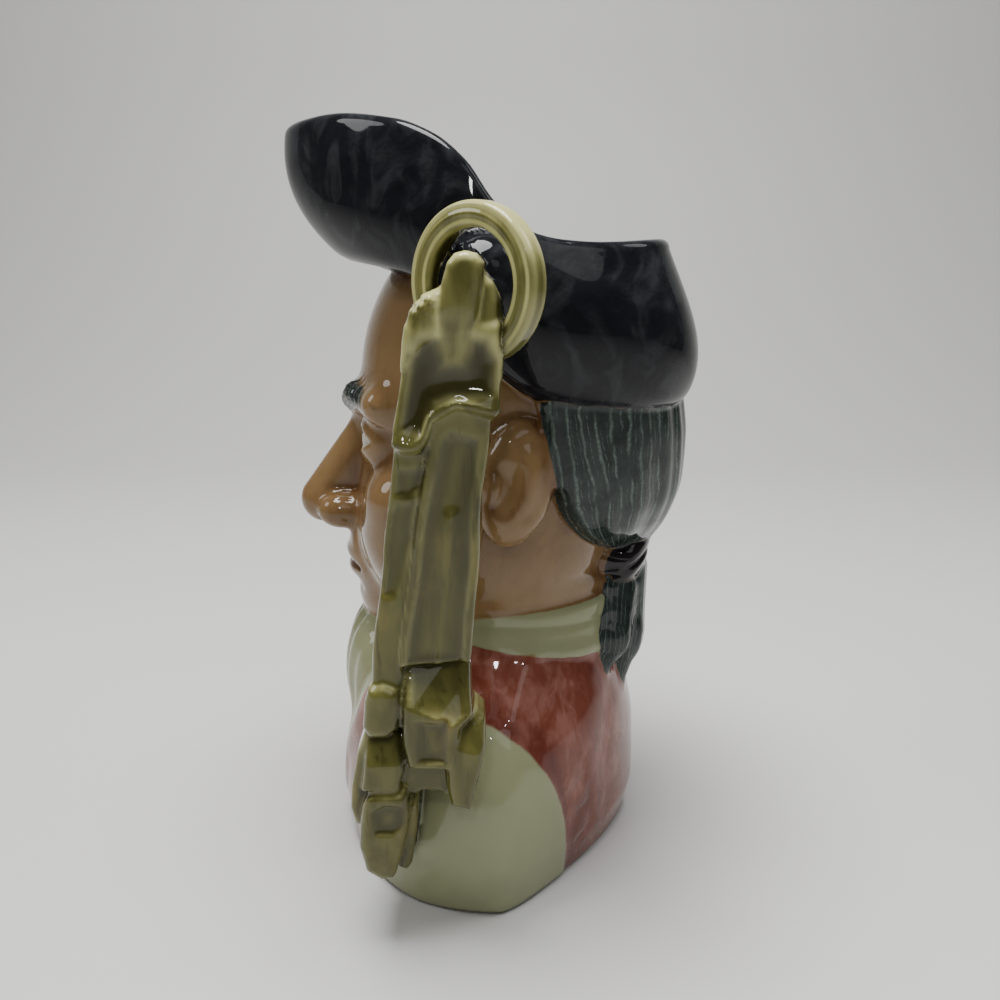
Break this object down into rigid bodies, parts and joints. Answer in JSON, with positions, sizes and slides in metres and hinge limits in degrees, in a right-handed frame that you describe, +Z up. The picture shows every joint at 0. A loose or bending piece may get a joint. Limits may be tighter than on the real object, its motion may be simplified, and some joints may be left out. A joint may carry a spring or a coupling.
{
  "type": "toby jug",
  "caption": "Hollow glazed ceramic character jug: a man's head and shoulders in an open three-cornered hat, with a ring and old keys as its handle.",
  "frame": {"origin": "on the flat underside, on the figure's middle plane", "axes": "+Z up out of the jug's mouth, -Y the way the face looks, +X towards the handle on the figure's left"},
  "size_m": [0.1256, 0.1015, 0.183],
  "materials": {
    "glaze": "clear gloss glaze over underglaze colours: black hat, tan skin, slate hair, cream linen, red vest, olive-brass keys"
  },
  "bodies": {
    "root": {"jug": "glaze"}
  },
  "joints": []
}
